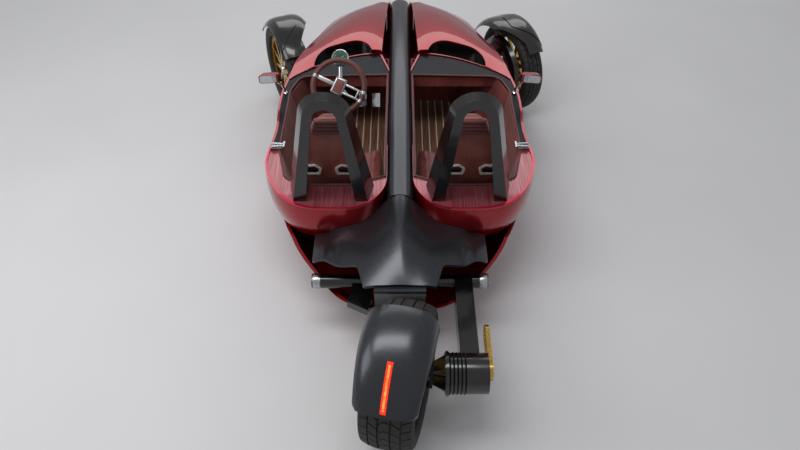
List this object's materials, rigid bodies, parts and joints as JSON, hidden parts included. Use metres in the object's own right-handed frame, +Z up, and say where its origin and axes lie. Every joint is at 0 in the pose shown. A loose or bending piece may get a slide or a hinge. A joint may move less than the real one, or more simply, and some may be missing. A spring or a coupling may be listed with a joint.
{
  "type": "open two-seat electric tricycle with counter-steered rear wheel",
  "caption": "Open side-by-side electric tricycle: twin-pod red body on a dark spine, roll hoops, cycle-fendered front wheels and a steered, motor-driven rear wheel.",
  "frame": {"origin": "on the ground, at the centre of the vehicle's bounding box", "axes": "+Y to the front, +X to the vehicle's right, +Z up"},
  "size_m": [1.9136, 3.3665, 1.1999],
  "materials": {
    "battery": "sealed case",
    "boards": "oiled boards with pale seams",
    "candy_red": "glossy candy clearcoat",
    "chrome": "polished",
    "dash_black": "semi gloss",
    "duct_black": "moulded duct",
    "gauge_glass": "green dial under glass",
    "gloss_black": "gloss",
    "gold": "gold anodised",
    "lamp_clear": "clear lens",
    "lamp_red": "lit lens",
    "leather": "grained leather",
    "rim_metal": "gold anodised and machined",
    "satin_black": "satin",
    "steel": "satin",
    "tyre": "rubber"
  },
  "bodies": {
    "chassis": {"battery_block": "battery", "cockpit_rim_left": "dash_black", "cockpit_rim_right": "dash_black", "dash_left": "leather", "dash_right": "leather", "drive_motor": "gloss_black", "floor_boards": "boards", "gauge": "gauge_glass", "guard_link": "gold", "headlamps": "lamp_clear", "hood_duct_left": "duct_black", "hood_duct_right": "duct_black", "hood_left": "candy_red", "hood_right": "candy_red", "hull_left": "candy_red", "hull_right": "candy_red", "liner_left": "leather", "liner_right": "leather", "mirror_left": "chrome", "mirror_right": "chrome", "pedals": "chrome", "rear_cowl": "satin_black", "rear_frame": "satin_black", "rear_pod_left": "candy_red", "rear_pod_right": "candy_red", "roll_hoop_left": "gloss_black", "roll_hoop_right": "gloss_black", "seat_pads_left": "leather", "seat_pads_right": "leather", "seat_shell_left": "leather", "seat_shell_right": "leather", "side_left": "candy_red", "side_right": "candy_red", "spine": "satin_black", "steering_column": "chrome", "swing_arm": "gloss_black", "wishbones_left": "steel", "wishbones_right": "steel"},
    "front_hub_left": {"front_knuckle_left": "steel", "front_fender_left": "gloss_black"},
    "front_hub_right": {"front_knuckle_right": "steel", "front_fender_right": "gloss_black"},
    "front_wheel_left": {"front_tyre_left": "tyre", "front_rim_left": "rim_metal"},
    "front_wheel_right": {"front_tyre_right": "tyre", "front_rim_right": "rim_metal"},
    "rear_hub": {"rear_knuckle": "steel", "rear_fender": "satin_black", "tail_lamp": "lamp_red"},
    "rear_wheel": {"rear_tyre": "tyre", "rear_rim": "rim_metal"},
    "steering": {"steering_wheel": "leather"}
  },
  "joints": [
    {"name": "front_steer_left", "type": "hinge", "parent": "chassis", "child": "front_hub_left", "pos_m": [-0.735, 1.18, 0.31], "axis": [0, 0, 1], "range_deg": [-55, 5]},
    {"name": "front_steer_right", "type": "hinge", "parent": "chassis", "child": "front_hub_right", "pos_m": [0.735, 1.18, 0.31], "axis": [0, 0, 1], "range_deg": [-55, 5]},
    {"name": "rear_steer", "type": "hinge", "parent": "chassis", "child": "rear_hub", "pos_m": [0, -1.33, 0.33], "axis": [0, 0, 1], "range_deg": [-2.5, 26.5]},
    {"name": "steering_turn", "type": "hinge", "parent": "chassis", "child": "steering", "pos_m": [-0.345, 0.29, 0.74], "axis": [0, -0.766, 0.6428], "range_deg": [-738, 68]},
    {"name": "front_roll_left", "type": "hinge", "parent": "front_hub_left", "child": "front_wheel_left", "pos_m": [-0.77578, 1.16098, 0.31], "axis": [0.9063, 0.4226, 0], "continuous": true},
    {"name": "front_roll_right", "type": "hinge", "parent": "front_hub_right", "child": "front_wheel_right", "pos_m": [0.77578, 1.19902, 0.31], "axis": [0.9063, 0.4226, 0], "continuous": true},
    {"name": "rear_roll", "type": "hinge", "parent": "rear_hub", "child": "rear_wheel", "pos_m": [0, -1.33, 0.33], "axis": [0.9781, -0.2079, 0], "continuous": true}
  ],
  "couplings": [
    {"joint": "front_steer_right", "follows": "front_steer_left", "ratio": 1},
    {"joint": "rear_steer", "follows": "front_steer_left", "ratio": -0.48},
    {"joint": "steering_turn", "follows": "front_steer_left", "ratio": 13.4}
  ]
}
